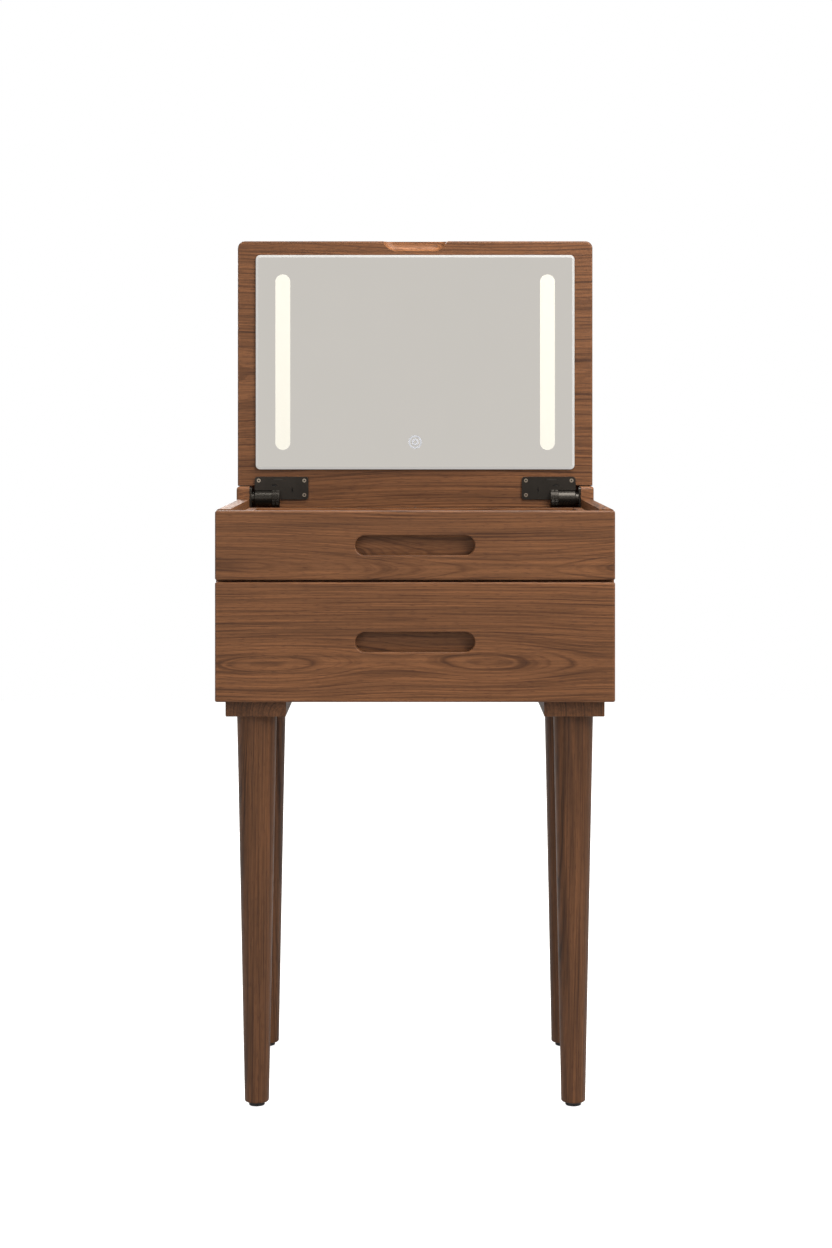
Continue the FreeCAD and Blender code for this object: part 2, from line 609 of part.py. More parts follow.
def lid_cuts():
    """Corner notches with their coves, barrel pockets, the light box recess, the lead's hole and the scoop."""
    low_z = AXIS_Z - REAR_OVERHANG
    axis = Vector(0, AXIS_Y, AXIS_Z)
    housing_x = TONGUE_X - HOUSING_L - COLLAR_GAP / 2
    collar_x = TONGUE_X - HOUSING_L - COLLAR_GAP - COLLAR_L - COLLAR_GAP
    recess_x = MIRROR_X - MIRROR_LAP
    tools = [scoop_tool(),
             pane(recess_x, MIRROR_Z + MIRROR_LAP, MIRROR_TOP_Z - MIRROR_LAP, LID_FACE_Y,
                  LID_FACE_Y + RECESS_D, MIRROR_CORNER_R),
             rod(LEAD_HOLE_R, Vector(0, LEAD_Y, low_z), UP, MIRROR_Z + MIRROR_LAP - low_z + 1),
             rod(INLET_R, Vector(0, LEAD_Y, low_z), UP, INLET_L)]
    for side in (LEFT, RIGHT):
        out = Vector(side, 0, 0)
        tools.append(side_box(side, TONGUE_X, SIDE_X, LID_FACE_Y, LID_BACK_Y, low_z, AXIS_Z + SHOULDER))
        tools.append(rod(COVE_R, axis + out * TONGUE_X, out, SIDE_X - TONGUE_X))
        for radius, x0, x1 in ((COLLAR_R, collar_x, housing_x), (BARREL_R, housing_x, TONGUE_X)):
            pocket_r = radius + BARREL_POCKET_GAP
            tools.append(rod(pocket_r, axis + out * x0, out, x1 - x0))
            tools.append(side_box(side, x0, x1, LID_FACE_Y, LID_FACE_Y + pocket_r, low_z, AXIS_Z))
    return tools


def mirror_glass():
    """The bevelled glass that stands proud of the lid."""
    face_y = LID_FACE_Y - MIRROR_T
    slab = pane(MIRROR_X, MIRROR_Z, MIRROR_TOP_Z, face_y + BEVEL_H, LID_FACE_Y, MIRROR_CORNER_R)
    wide = pane_wire(MIRROR_X, MIRROR_Z, MIRROR_TOP_Z, face_y + BEVEL_H, MIRROR_CORNER_R)
    narrow = pane_wire(MIRROR_X - BEVEL_W, MIRROR_Z + BEVEL_W, MIRROR_TOP_Z - BEVEL_W, face_y,
                       MIRROR_CORNER_R - BEVEL_W)
    bevel = Part.makeLoft([wide, narrow], True, True)
    return slab.fuse(bevel)


def window(side):
    """A light window with full-round ends, flush in the glass."""
    r = WINDOW_W / 2
    z0 = MIRROR_Z + WINDOW_END
    z1 = MIRROR_TOP_Z - WINDOW_END
    y0 = LID_FACE_Y - MIRROR_T
    x = side * WINDOW_X
    bar = box(x - r, x + r, y0, LID_FACE_Y, z0 + r, z1 - r)
    ends = [rod(r, Vector(x, y0, z), Vector(0, 1, 0), MIRROR_T) for z in (z0 + r, z1 - r)]
    return bar.fuse(ends).removeSplitter()


def led_bar(side):
    """A strip of LEDs behind a light window."""
    back_y = LID_FACE_Y + RECESS_D - TRAY_T
    z0 = MIRROR_Z + WINDOW_END + LED_BAR_SHORTER / 2
    z1 = MIRROR_TOP_Z - WINDOW_END - LED_BAR_SHORTER / 2
    x = side * WINDOW_X
    half = LED_BAR_W / 2
    strip = box(x - half, x + half, back_y - LED_BAR_T, back_y, z0, z1)
    count = int((z1 - z0) // LED_PITCH)
    chips = []
    for z in spread(z0, z1, count, LED_PITCH / 2):
        chips.append(box(x - LED_SIZE / 2, x + LED_SIZE / 2, back_y - LED_BAR_T - LED_H, back_y - LED_BAR_T,
                         z - LED_SIZE / 2, z + LED_SIZE / 2))
    return strip.fuse(chips)


def ring(outer_r, inner_r, y, depth, z):
    """A flat ring that faces -Y."""
    start = Vector(0, y, z)
    forward = Vector(0, 1, 0)
    return rod(outer_r, start, forward, depth).cut(rod(inner_r, start, forward, depth))


LEAD_Y = LID_FACE_Y + RECESS_D - TRAY_T - MODULE_T / 2


def build_lid():
    """The lid's board, glass, lights and touch parts."""
    tray_back_y = LID_FACE_Y + RECESS_D
    tray_in_y = tray_back_y - TRAY_T
    icon_z = MIRROR_Z + ICON_UP
    lap = MIRROR_LAP + TRAY_FIT
    glass = mirror_glass()
    windows = {name: window(side) for name, side in SIDES}
    icon = [ring(ICON_R, ICON_R - ICON_RING, LID_FACE_Y - MIRROR_T, ICON_D, icon_z),
            ring(ICON_INNER_R, ICON_INNER_R - ICON_RING, LID_FACE_Y - MIRROR_T, ICON_D, icon_z)]
    keep("mirror_glass", drill(glass, list(windows.values()) + icon))
    keep("touch_icon", icon)

    module = box(-MODULE_W / 2, MODULE_W / 2, tray_in_y - MODULE_T, tray_in_y, icon_z - MODULE_L / 2,
                 icon_z + MODULE_L / 2)
    sensor = rod(SENSOR_R, Vector(0, LID_FACE_Y, icon_z), Vector(0, 1, 0), tray_in_y - MODULE_T - LID_FACE_Y)
    module = module.fuse(sensor)
    inlet_z = AXIS_Z - REAR_OVERHANG
    lead_start = inlet_z + INLET_L
    lead = rod(LEAD_R, Vector(0, LEAD_Y, lead_start), UP, icon_z - MODULE_L / 2 - lead_start)
    wires = [lead]
    for side in (LEFT, RIGHT):
        start = Vector(side * MODULE_W / 2, tray_in_y - WIRE_R, icon_z)
        wires.append(rod(WIRE_R, start, Vector(side, 0, 0), WINDOW_X - LED_BAR_W / 2 - MODULE_W / 2))
    tray = pane(MIRROR_X - lap, MIRROR_Z + lap, MIRROR_TOP_Z - lap, LID_FACE_Y, tray_back_y,
                MIRROR_CORNER_R - TRAY_FIT)
    hollow = pane(MIRROR_X - lap - TRAY_T, MIRROR_Z + lap + TRAY_T, MIRROR_TOP_Z - lap - TRAY_T, LID_FACE_Y,
                  tray_in_y, MIRROR_CORNER_R - TRAY_FIT - TRAY_T)
    lead_hole = rod(LEAD_HOLE_R, Vector(0, LEAD_Y, MIRROR_Z), UP, MIRROR_LAP + TRAY_FIT + 2 * TRAY_T)
    keep("mirror_light_box", tray.cut([hollow, lead_hole]))
    keep("touch_module", module)
    keep("mirror_wiring", wires)
    inlet = rod(INLET_R, Vector(0, LEAD_Y, inlet_z), UP, INLET_L)
    keep("power_inlet", inlet.cut(rod(INLET_BORE_R, Vector(0, LEAD_Y, inlet_z), UP, INLET_BORE_L)))
    for name, side in SIDES:
        keep(name + "_light_window", windows[name])
        keep(name + "_led_bar", led_bar(side))
    return drill(lid_blank(), lid_cuts())


# Hinges --------------------------------------------------------------------------------------------

def hinge_leaf(side):
    """The leaf and the collar that turns with it, cut back round the fixed housing."""
    axis = Vector(0, AXIS_Y, AXIS_Z)
    out = Vector(side, 0, 0)
    end_x = TONGUE_X - LEAF_L
    housing_x = TONGUE_X - HOUSING_L - COLLAR_GAP
    collar_x = housing_x - COLLAR_L
    plate = side_box(side, end_x, TONGUE_X, LID_FACE_Y - LEAF_T, LID_FACE_Y, AXIS_Z - LEAF_DOWN,
                     AXIS_Z + LEAF_UP)
    plate = rounded(plate, LEAF_CORNER_R,
                    lambda b: b.YMax - b.YMin > LEAF_T / 2 and b.XMax - b.XMin < 1e-3 and b.ZMax - b.ZMin < 1e-3)
    clear = rod(BARREL_R + LEAF_HOUSING_GAP, axis + out * housing_x, out, HOUSING_L + COLLAR_GAP)
    below = side_box(side, housing_x, TONGUE_X, LID_FACE_Y - LEAF_T, LID_FACE_Y, AXIS_Z - LEAF_DOWN, AXIS_Z)
    collar = rod(COLLAR_R, axis + out * collar_x, out, COLLAR_L)
    marks = [rod(LEAF_MARK_R, Vector(side * x, LID_FACE_Y - LEAF_T, AXIS_Z + LEAF_UP - LEAF_CORNER_R),
                 Vector(0, 1, 0), LEAF_MARK_R)
             for x in (end_x + LEAF_MARKS[0], end_x + LEAF_MARKS[1])]
    slots = [side_box(side, end_x + along, end_x + along + width, LID_FACE_Y - LEAF_T, LID_FACE_Y,
                      AXIS_Z + LEAF_UP - down - height, AXIS_Z + LEAF_UP - down)
             for along, down, width, height in (LEAF_SLOT, LEAF_KEYWAY)]
    bore = rod(SHAFT_R, axis + out * collar_x, out, COLLAR_L)
    return plate.cut([clear, below]).fuse(collar).cut(marks + slots + [bore])


def leaf_screw_places(side):
    """Where the leaf's three screws go, near its corners away from the barrel."""
    near_x = TONGUE_X - LEAF_L + LEAF_SCREW_ENDS[0]
    far_x = TONGUE_X - LEAF_SCREW_ENDS[1]
    high_z = AXIS_Z + LEAF_UP - LEAF_SCREW_DOWN
    spots = ((near_x, high_z), (far_x, high_z), (near_x, AXIS_Z + LEAF_SCREW_UP))
    return [Vector(side * x, LID_FACE_Y - LEAF_T, z) for x, z in spots]


def hinge_base(side):
    """The fixed housing, its neck and the plate on the side panel."""
    axis = Vector(0, AXIS_Y, AXIS_Z)
    out = Vector(side, 0, 0)
    plate_x = INNER_X - PLATE_T
    housing_x = TONGUE_X - HOUSING_L
    housing = rod(BARREL_R, axis + out * housing_x, out, HOUSING_L)
    housing = housing.makeChamfer(HOUSING_CHAMFER, [e for e in housing.Edges
                                        if in_plane(side * e.BoundBox.XMin, side * e.BoundBox.XMax, TONGUE_X)])
    neck = rod(NECK_R, axis + out * TONGUE_X, out, plate_x - TONGUE_X)
    plate = side_box(side, plate_x, INNER_X, POST_Y + PLATE_INSET, AXIS_Y + PLATE_BEHIND, AXIS_Z - PLATE_DOWN,
                     POST_TOP_Z - PLATE_INSET)
    plate = rounded(plate, PLATE_CORNER_R, lambda b: b.XMax - b.XMin > PLATE_T / 2)
    room = rod(BARREL_R - HOUSING_WALL, axis + out * (housing_x + HOUSING_WALL), out,
               HOUSING_L - 2 * HOUSING_WALL)
    bore = rod(SHAFT_R + SHAFT_FIT, axis + out * housing_x, out, HOUSING_WALL)
    return housing.fuse([neck, plate]).cut([room, bore])


def hinge_shaft(side):
    """The shaft, fixed in the collar and turning in the housing."""
    collar_x = TONGUE_X - HOUSING_L - COLLAR_GAP - COLLAR_L
    length = COLLAR_L + COLLAR_GAP + HOUSING_L - HOUSING_WALL - SHAFT_END_GAP
    return rod(SHAFT_R, Vector(side * collar_x, AXIS_Y, AXIS_Z), Vector(side, 0, 0), length)


def friction_discs(side):
    """The discs that grip the shaft inside a housing."""
    start_x = TONGUE_X - HOUSING_L + HOUSING_WALL
    step = (HOUSING_L - 2 * HOUSING_WALL) / DISC_COUNT
    discs = []
    for i in range(DISC_COUNT):
        out = Vector(side, 0, 0)
        place = Vector(0, AXIS_Y, AXIS_Z) + out * (start_x + step * (i + 0.5) - DISC_T / 2)
        disc = rod(DISC_R, place, out, DISC_T)
        discs.append(disc.cut(rod(SHAFT_R + SHAFT_FIT, place, out, DISC_T)))
    return discs


def base_screw_places(side):
    """Where the hinge base's screws go, in the corners of its plate."""
    inset = PLATE_SCREW_INSET
    return [Vector(side * (INNER_X - PLATE_T), y, z)
            for y in (POST_Y + PLATE_INSET + inset, AXIS_Y + PLATE_BEHIND - inset)
            for z in (AXIS_Z - PLATE_DOWN + inset, POST_TOP_Z - PLATE_INSET - inset)]


def build_hinges(lid):
    """Both hinges and their screws. Returns the lid with its screw holes, and the base screws."""
    leaf_screws = []
    leaf_sockets = []
    base_screws = []
    for side in (LEFT, RIGHT):
        leaf_screws += [screw(LEAF_SCREW, p, Vector(0, 1, 0)) for p in leaf_screw_places(side)]
        leaf_sockets += [socket(p, Vector(0, 1, 0)) for p in leaf_screw_places(side)]
        base_screws += [screw(SMALL_SCREW, p, Vector(side, 0, 0)) for p in base_screw_places(side)]
    for name, side in SIDES:
        keep(name + "_hinge_leaf", drill(hinge_leaf(side), leaf_screws))
        keep(name + "_hinge_base", drill(hinge_base(side), base_screws))
    keep("hinge_shafts", [hinge_shaft(side) for side in (LEFT, RIGHT)])
    keep("hinge_friction_discs", friction_discs(LEFT) + friction_discs(RIGHT))
    keep("hinge_base_screws", base_screws)
    keep("hinge_leaf_screws", [s.cut(h) for s, h in zip(leaf_screws, leaf_sockets)])
    keep("lid_panel", drill(lid, leaf_screws))
    return base_screws


def build_all():
    """Every node of the table."""
    pins = build_carcass_and_base()
    build_drawer("lower", BOX_Z, LOWER_FRONT_H, FLOOR_Z, DIVIDER_Z - LOWER_BOX_DROP)
    build_drawer("upper", UPPER_Z, UPPER_FRONT_H, DIVIDER_TOP_Z, SIDE_TOP_Z - UPPER_BOX_DROP)
    rail_screws = build_cabinet_rails()
    base_screws = build_hinges(build_lid())
    for name, side in SIDES:
        keep(name + "_side_panel", drill(side_panel(side), pins + rail_screws + base_screws))


build_all()
os.makedirs("parts", exist_ok=True)
for node, shape in NODES.items():
    shape.exportStep("parts/" + node + ".step")
    print(node, "solids", len(shape.Solids), "valid", shape.isValid(), "volume", round(shape.Volume, 1))
print(len(NODES), "nodes")
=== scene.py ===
import math

import bmesh
import bpy
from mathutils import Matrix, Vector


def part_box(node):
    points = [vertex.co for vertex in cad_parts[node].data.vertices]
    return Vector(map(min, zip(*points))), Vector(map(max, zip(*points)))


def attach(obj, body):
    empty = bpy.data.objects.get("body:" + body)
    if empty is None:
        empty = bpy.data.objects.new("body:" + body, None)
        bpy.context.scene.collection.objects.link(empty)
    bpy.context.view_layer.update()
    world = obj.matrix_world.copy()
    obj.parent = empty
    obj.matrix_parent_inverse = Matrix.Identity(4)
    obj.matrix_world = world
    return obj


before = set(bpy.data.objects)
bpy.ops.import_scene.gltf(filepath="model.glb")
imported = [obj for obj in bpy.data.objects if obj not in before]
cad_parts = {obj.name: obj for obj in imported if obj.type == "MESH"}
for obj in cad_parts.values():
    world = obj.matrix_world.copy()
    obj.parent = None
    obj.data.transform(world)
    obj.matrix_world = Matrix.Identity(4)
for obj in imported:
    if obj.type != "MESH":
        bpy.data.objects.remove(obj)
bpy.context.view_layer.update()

# Lengths are in metres and colours are linear.
AXIS_INDEX = {"X": 0, "Y": 1, "Z": 2}
WHITE = (1.0, 1.0, 1.0)

# Oiled walnut, from early wood to late wood, and its pores.
WOOD_LIGHT = (0.132, 0.0530, 0.0200)
WOOD_MID = (0.100, 0.0390, 0.0140)
WOOD_DARK = (0.044, 0.0155, 0.0050)
WOOD_PORE = (0.030, 0.0100, 0.0035)
WOOD_COLOURS = ((0.0, WOOD_LIGHT), (0.34, WOOD_MID), (1.0, WOOD_DARK))

# A year's width in the log, how many years the widths wander by, and how dark the wood is at
# each place in a year.
RING_WIDTH = 0.0036
RING_WANDER = 2.6
RING_DARKNESS = ((0.0, 0.75), (0.08, 0.08), (0.50, 0.12), (0.80, 0.36), (0.94, 1.0), (1.0, 0.75))

# How far the grain strays across the face and into the board, and how far it trembles.
GRAIN_SWAY = 0.022
GRAIN_HEAVE = 0.009
GRAIN_TREMBLE = 0.0016

# The band along a board's edges that is painted lighter, a painted highlight on their rounding.
EDGE_HIGHLIGHT_WIDTH = 0.004
EDGE_HIGHLIGHT_TONE = 1.12

# Painted highlight in the finger scoop, whose wood is painted lighter: half its width, its depth
# down from the lid's free edge, its front and back from the lid's face, how softly the painted
# highlight ends and how much lighter it makes the wood.
SCOOP_HALF_WIDTH = 0.052
SCOOP_DEPTH = 0.0160
SCOOP_FRONT = 0.0002
SCOOP_BACK = 0.0135
SCOOP_SOFT = 0.0010
SCOOP_HIGHLIGHT_TONE = 1.72

# How far metal's colour varies, and the grain of metal and of plastic.
METAL_UNEVEN = 0.12
METAL_GRAIN = 900.0
PLASTIC_GRAIN = 1400.0

# The mirror's rim: how far it stands outside the glass, its corners' radius, a little less than
# the glass's, how thick it is behind the bevel, and its section over the bevel as (in from the
# glass's edge, back from its face).
RIM_SKIN = 0.00012
RIM_CORNER = 0.006
RIM_WALL = 0.0003
RIM_BEVEL = ((0.0, 0.0016), (0.0004, 0.0012), (0.0032, 0.0), (0.0032, 0.0004), (0.0004, 0.0016))

# A hinge collar's knurl: its ridges, where each one's four points lie in its share of the turn,
# its radii, and its length as (X from the middle of the lid, radius of the ridges there).
KNURL_RIDGES = 44
KNURL_SHARES = (0.0, 0.24, 0.56, 0.80)
KNURL_LOW = 0.01170
KNURL_HIGH = 0.01212
KNURL_GROOVE = 0.01175
KNURL_CORE = 0.97 * KNURL_LOW
KNURL_LENGTH = ((0.1906, KNURL_LOW), (0.1912, KNURL_HIGH), (0.1950, KNURL_HIGH),
                (0.1954, KNURL_GROOVE), (0.1960, KNURL_GROOVE), (0.1964, KNURL_HIGH),
                (0.1998, KNURL_HIGH), (0.2004, KNURL_LOW))

# The lip on a hinge leaf: its middle along the leaf and down from its top, half its length and
# height, and its section as (in from its edge, back from the leaf's face).
TAB_ALONG = 0.0420
TAB_DOWN = 0.0040
TAB_HALF_LENGTH = 0.0070
TAB_HALF_HEIGHT = 0.0009
TAB_SECTION = ((0.0, 0.0010), (0.0, 0.00025), (0.0003, 0.0), (0.0006, -0.00005),
               (0.0007, 0.0002))

# The slots in a hinge leaf, as (along the leaf, down from its top, width, height), and the
# section of the black lining in them, a painted shade, as (in from the slot's edge, back from the
# leaf's face).
LEAF_SLOTS = ((0.0444, 0.0110, 0.0070, 0.0018), (0.0220, 0.0160, 0.0014, 0.0055))
SLOT_SHADE_SECTION = ((0.00005, 0.0026), (0.00005, 0.0011), (0.0003, 0.0015), (0.0004, 0.0022))

# What lights the object from in front of it and from behind, and where Y, as a direction,
# passes from one to the other.
ROOM = (0.640, 0.610, 0.569)
BACKDROP = (0.50, 0.497, 0.490)
ROOM_END = -0.15
BACKDROP_START = 0.45

FLOOR_HALF = 4.0
FLOOR_COLOUR = (0.50, 0.50, 0.50)
FLOOR_GLOW = 0.80

WARM_WHITE = (1.0, 0.99, 0.97)
LIGHTS = (
    # name, place, what it is aimed at, size, power in watts, colour
    ("key", (1.7, -2.2, 2.1), (0.0, -0.1, 0.80), 1.2, 57.5, WARM_WHITE),
    ("overhead", (0.5, -0.5, 2.6), (0.0, 0.1, 0.9), 1.4, 58.0, WARM_WHITE),
    ("fill", (-1.6, -3.0, 1.3), (0.0, 0.0, 0.8), 1.6, 19.0, WHITE),
    ("rear", (-1.3, 2.6, 1.9), (0.0, 0.1, 0.8), 1.6, 90.0, WARM_WHITE),
    ("corner", (0.95, -0.75, 1.55), (0.22, 0.16, 0.95), 0.5, 6.0, WARM_WHITE),
)

CAMERA_PLACE = (0.0012, -3.1144, 0.8775)
CAMERA_SENSOR_MM = 36.0
CAMERA_LENS_MM = 67.34
CAMERA_SHIFT_Y = -0.1683


class Shader:
    """A new material with a Principled surface, and short calls for the nodes used here."""

    def __init__(self, name):
        self.material = bpy.data.materials.new(name)
        self.material.use_nodes = True
        self.tree = self.material.node_tree
        self.tree.nodes.clear()
        self.surface = self.add("ShaderNodeBsdfPrincipled")
        self.link(self.surface.outputs[0], self.add("ShaderNodeOutputMaterial").inputs[0])
        self.place = self.add("ShaderNodeTexCoord").outputs["Object"]

    def add(self, kind, **settings):
        node = self.tree.nodes.new(kind)
        for key, value in settings.items():
            setattr(node, key, value)
        return node

    def link(self, source, target):
        self.tree.links.new(source, target)

    def feed(self, target, value):
        """Links a socket, or sets a plain number or colour."""
        if isinstance(value, bpy.types.NodeSocket):
            self.link(value, target)
        elif target.type == "RGBA":
            target.default_value = (*value, 1.0)
        else:
            target.default_value = value

    def set(self, **values):
        """Sets the surface's inputs, with _ for a space in their names."""
        for key, value in values.items():
            self.feed(self.surface.inputs[key.replace("_", " ")], value)

    def math(self, operation, a, b=0.0, c=0.0):
        node = self.add("ShaderNodeMath", operation=operation)
        for socket, value in zip(node.inputs, (a, b, c)):
            self.feed(socket, value)
        return node.outputs[0]

    def total(self, *values):
        result = values[0]
        for value in values[1:]:
            result = self.math("ADD", result, value)
        return result

    def product(self, *values):
        result = values[0]
        for value in values[1:]:
            result = self.math("MULTIPLY", result, value)
        return result

    def vector(self, x, y, z):
        node = self.add("ShaderNodeCombineXYZ")
        for socket, value in zip(node.inputs, (x, y, z)):
            self.feed(socket, value)
        return node.outputs[0]

    def split(self, vector):
        node = self.add("ShaderNodeSeparateXYZ")
        self.link(vector, node.inputs[0])
        return node.outputs

    def noise(self, vector, scale=1.0, detail=2.0, roughness=0.5):
        node = self.add("ShaderNodeTexNoise")
        self.link(vector, node.inputs["Vector"])
        node.inputs["Scale"].default_value = scale
        node.inputs["Detail"].default_value = detail
        node.inputs["Roughness"].default_value = roughness
        return node.outputs[0]

    def span(self, value, low, high, to_low=0.0, to_high=1.0):
        """A value from low to high as one from to_low to to_high, held at both ends."""
        node = self.add("ShaderNodeMapRange")
        for socket, number in zip(node.inputs, (value, low, high, to_low, to_high)):
            self.feed(socket, number)
        return node.outputs[0]

    def ramp(self, factor, stops):
        """A colour from stops, each a place and three numbers."""
        node = self.add("ShaderNodeValToRGB")
        self.link(factor, node.inputs[0])
        points = node.color_ramp.elements
        while len(points) < len(stops):
            points.new(0.5)
        for point, (at, colour) in zip(points, stops):
            point.position = at
            point.color = (*colour, 1.0)
        return node.outputs[0]

    def mix(self, factor, a, b, blend="MIX"):
        """Mixes two colours, each a socket or three numbers."""
        node = self.add("ShaderNodeMix", data_type="RGBA", blend_type=blend)
        self.feed(node.inputs[0], factor)
        self.feed(node.inputs[6], a)
        self.feed(node.inputs[7], b)
        return node.outputs[2]

    def scaled(self, colour, factor):
        """A colour times a varying number."""
        grey = self.add("ShaderNodeCombineColor")
        for socket in grey.inputs:
            self.link(factor, socket)
        return self.mix(1.0, colour, grey.outputs[0], "MULTIPLY")

    def bump(self, height, distance, strength):
        node = self.add("ShaderNodeBump")
        node.inputs["Strength"].default_value = strength
        node.inputs["Distance"].default_value = distance
        self.link(height, node.inputs["Height"])
        self.link(node.outputs[0], self.surface.inputs["Normal"])


def middle_of(node):
    """The middle of a node's box at rest."""
    low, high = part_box(node)
    return [(a + b) / 2 for a, b in zip(low, high)]


def edge_distance(s, parts, box):
    """How far a point of a board is from its nearest edge: its second least distance to a face."""
    low, high = box
    gaps = []
    for axis in range(3):
        gaps.append(s.math("MINIMUM", s.math("SUBTRACT", parts[axis], low[axis]),
                           s.math("SUBTRACT", high[axis], parts[axis])))
    least = s.math("MINIMUM", gaps[0], gaps[1])
    most = s.math("MAXIMUM", gaps[0], gaps[1])
    return s.math("MAXIMUM", least, s.math("MINIMUM", most, gaps[2]))


def scoop_highlight_mask(s, parts, scoop):
    """One inside the finger scoop, and nought on the lid's face, beyond its back and beside it."""
    half_width, front, back, bottom = scoop
    return s.product(s.span(parts[1], front, front + SCOOP_SOFT),
                     s.span(parts[1], back, back - SCOOP_SOFT),
                     s.span(parts[2], bottom, bottom + SCOOP_SOFT),
                     s.span(s.math("ABSOLUTE", parts[0]), half_width, half_width - SCOOP_SOFT))


def walnut(name, axes, across, depth, lean=0.05, wave=(0.004, 0.24, 0.0), seed=0.0, tone=1.0,
           wild=1.0, box=None, scoop=None):
    """Oiled walnut.

    axes names the grain's direction, the direction across the face and the one into it. The
    log's pith runs at (across, depth) where the grain coordinate is zero. It leans into the
    board by lean, and weaves there by wave: an amplitude, a length and the place of one crest.
    The growth rings round it meet the face in long arches. wild is how far the grain strays
    from straight. box is the board's own box, whose edges are painted a little lighter as a
    painted highlight on their rounding. scoop is where the finger scoop lies behind the face,
    whose wood is painted lighter as a painted highlight where the light falls into it.
    """
    s = Shader(name)
    parts = s.split(s.place)
    g, a, b = (parts[AXIS_INDEX[letter]] for letter in axes)

    def grain_noise(along, cross, shift, detail=2.0, roughness=0.5):
        """Noise drawn out along the grain, by how fine it is along and across it."""
        at = s.vector(s.math("MULTIPLY_ADD", g, along, seed + shift),
                      s.math("MULTIPLY", a, cross), s.math("MULTIPLY", b, cross))
        return s.noise(at, detail=detail, roughness=roughness)

    def swing(noise, size):
        """Noise from nought to one as a length to either side of nought."""
        return s.math("MULTIPLY_ADD", noise, size, -size / 2)

    # How far a point is from the pith.
    size, length, crest = wave
    turn = s.math("MULTIPLY", s.math("SUBTRACT", g, crest), 2 * math.pi / length)
    drift = s.total(s.math("MULTIPLY", g, lean), s.math("MULTIPLY", s.math("COSINE", turn), size))
    sway = swing(grain_noise(2.2, 7.0, 0.0, 1.0), GRAIN_SWAY * wild)
    heave = swing(grain_noise(2.2, 9.0, 7.3, 1.0), GRAIN_HEAVE * wild)
    off_a = s.total(s.math("SUBTRACT", a, across), sway)
    off_b = s.total(s.math("SUBTRACT", b, depth), s.math("MULTIPLY", drift, -1.0), heave)
    radius = s.math("SQRT", s.total(s.product(off_a, off_a), s.product(off_b, off_b)))
    radius = s.total(radius, swing(grain_noise(16.0, 90.0, 3.0, 2.0, 0.6), GRAIN_TREMBLE))

    # Which year it grew in, where in the year, and how strong that year's late wood is.
    wander = s.noise(s.vector(s.math("MULTIPLY", radius, 70.0), seed + 3.1, 0.0), detail=1.0)
    phase = s.math("MULTIPLY_ADD", wander, RING_WANDER, s.math("DIVIDE", radius, RING_WIDTH))
    late = s.ramp(s.math("FRACT", phase), [(at, (dark,) * 3) for at, dark in RING_DARKNESS])
    year = s.noise(s.vector(s.math("MULTIPLY", s.math("FLOOR", phase), 1.37), seed, 4.0), scale=3.0)
    # Fine lines inside the years follow the rings, broken up along the grain.
    lines = s.noise(s.vector(s.math("MULTIPLY", radius, 620.0),
                             s.math("MULTIPLY_ADD", g, 5.0, seed),
                             s.math("MULTIPLY", b, 20.0)), detail=2.0, roughness=0.65)
    dark = s.total(s.product(late, s.span(year, 0.34, 0.66, 0.10, 0.72)),
                   s.span(lines, 0.48, 0.70, 0.0, 0.78))

    fibre = grain_noise(12.0, 760.0, 0.0, 2.0, 0.7)
    streak = grain_noise(2.6, 230.0, 1.0, 3.0, 0.75)
    cloud = grain_noise(2.2, 13.0, 5.0, 2.0)
    pore = s.span(grain_noise(75.0, 1300.0, 2.0, 1.0), 0.58, 0.70)
    shade = s.product(s.span(fibre, 0.25, 0.75, 0.80, 1.20),
                      s.span(streak, 0.30, 0.70, 0.68, 1.30),
                      s.span(cloud, 0.3, 0.7, 0.92 * tone, 1.12 * tone))
    # Painted highlight: a band along the board's edges is made lighter.
    if box:
        rubbed = s.span(edge_distance(s, parts, box), 0.0, EDGE_HIGHLIGHT_WIDTH, EDGE_HIGHLIGHT_TONE, 1.0)
        shade = s.product(shade, rubbed)
    # Painted highlight: the wood in the finger scoop is made lighter where the light falls into it.
    if scoop:
        shade = s.product(shade, s.span(scoop_highlight_mask(s, parts, scoop), 0.0, 1.0, 1.0, SCOOP_HIGHLIGHT_TONE))

    colour = s.scaled(s.ramp(dark, WOOD_COLOURS), shade)
    rough = s.total(s.span(fibre, 0.2, 0.8, 0.38, 0.50), s.product(pore, 0.15))
    s.set(Base_Color=s.mix(s.product(pore, 0.55), colour, WOOD_PORE), Roughness=rough,
          Specular_IOR_Level=0.24)
    height = s.math("SUBTRACT", s.product(fibre, 0.5), s.total(pore, s.product(late, 0.3)))
    s.bump(height, 0.00010, 0.5)
    return s.material


